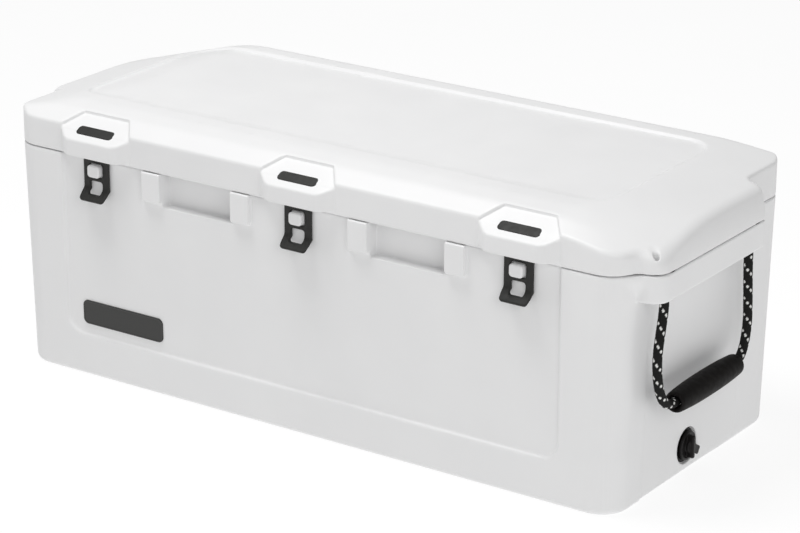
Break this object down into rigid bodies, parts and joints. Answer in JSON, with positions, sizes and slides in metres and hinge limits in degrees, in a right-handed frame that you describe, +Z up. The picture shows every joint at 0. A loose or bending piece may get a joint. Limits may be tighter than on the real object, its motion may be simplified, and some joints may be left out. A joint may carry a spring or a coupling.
{
  "type": "hard-sided ice chest",
  "caption": "Long hard-sided ice chest with a hinged insulated lid, rubber strap latches, rope handles at both ends and a screw-in drain plug.",
  "frame": {"origin": "centre of the base, on the surface that the chest stands on", "axes": "+X along the length towards the drain end, +Y to the hinged back, +Z up"},
  "size_m": [1.139, 0.492, 0.422],
  "materials": {
    "shell": "white rotomoulded polyethylene, satin with a fine mould grain",
    "foam": "cream rigid polyurethane foam",
    "latch_rubber": "dark grey moulded rubber",
    "seal_rubber": "soft black rubber",
    "rope": "black braided cord with white flecks",
    "grip": "black moulded grip",
    "black_plastic": "black moulded plastic",
    "badge": "dark grey plate with a fine border, blank",
    "steel": "stainless steel"
  },
  "bodies": {
    "root": {"body_shell": "shell", "body_foam": "foam", "body_filling_plug": "shell", "badge": "badge", "hinge_pin_left": "steel", "hinge_pin_right": "steel", "drain_bushing": "black_plastic", "keeper_left": "shell", "keeper_screw_left_a": "steel", "keeper_screw_left_b": "steel", "keeper_centre": "shell", "keeper_screw_centre_a": "steel", "keeper_screw_centre_b": "steel", "keeper_right": "shell", "keeper_screw_right_a": "steel", "keeper_screw_right_b": "steel", "rope_end_left_front": "rope", "rope_end_left_back": "rope", "rope_end_right_front": "rope", "rope_end_right_back": "rope"},
    "lid": {"lid_shell": "shell", "lid_foam": "foam", "lid_filling_plug": "shell", "lid_gasket": "seal_rubber", "latch_head_left": "latch_rubber", "latch_head_centre": "latch_rubber", "latch_head_right": "latch_rubber"},
    "latch_left": {"latch_strap_left": "latch_rubber"},
    "latch_centre": {"latch_strap_centre": "latch_rubber"},
    "latch_right": {"latch_strap_right": "latch_rubber"},
    "handle_left": {"rope_left": "rope", "grip_left": "grip"},
    "handle_right": {"rope_right": "rope", "grip_right": "grip"},
    "drain_seal": {"drain_washer": "seal_rubber"},
    "drain_screw": {"drain_plug": "black_plastic"}
  },
  "joints": [
    {"name": "lid_hinge", "type": "hinge", "parent": "root", "child": "lid", "pos_m": [0, 0.234, 0.35075], "axis": [-1, 0, 0], "range_deg": [0, 95]},
    {"name": "latch_left_hinge", "type": "hinge", "parent": "lid", "child": "latch_left", "pos_m": [-0.368, -0.23, 0.3487], "axis": [-1, 0, 0], "range_deg": [0, 90]},
    {"name": "latch_centre_hinge", "type": "hinge", "parent": "lid", "child": "latch_centre", "pos_m": [0, -0.23, 0.3487], "axis": [-1, 0, 0], "range_deg": [0, 90]},
    {"name": "latch_right_hinge", "type": "hinge", "parent": "lid", "child": "latch_right", "pos_m": [0.368, -0.23, 0.3487], "axis": [-1, 0, 0], "range_deg": [0, 90]},
    {"name": "handle_left_swing", "type": "hinge", "parent": "root", "child": "handle_left", "pos_m": [-0.551, 0.0365, 0.30245], "axis": [0, 1, 0], "range_deg": [0, 90]},
    {"name": "handle_right_swing", "type": "hinge", "parent": "root", "child": "handle_right", "pos_m": [0.551, -0.0365, 0.30245], "axis": [0, -1, 0], "range_deg": [0, 90]},
    {"name": "drain_travel", "type": "slide", "parent": "root", "child": "drain_seal", "axis": [1, 0, 0], "range_m": [0, 0.01]},
    {"name": "drain_turn", "type": "hinge", "parent": "drain_seal", "child": "drain_screw", "pos_m": [0.52, -0.016, 0.038], "axis": [1, 0, 0], "range_deg": [0, 720]}
  ],
  "couplings": [
    {"joint": "drain_travel", "follows": "drain_turn", "m_per_rad": 0.000795}
  ]
}
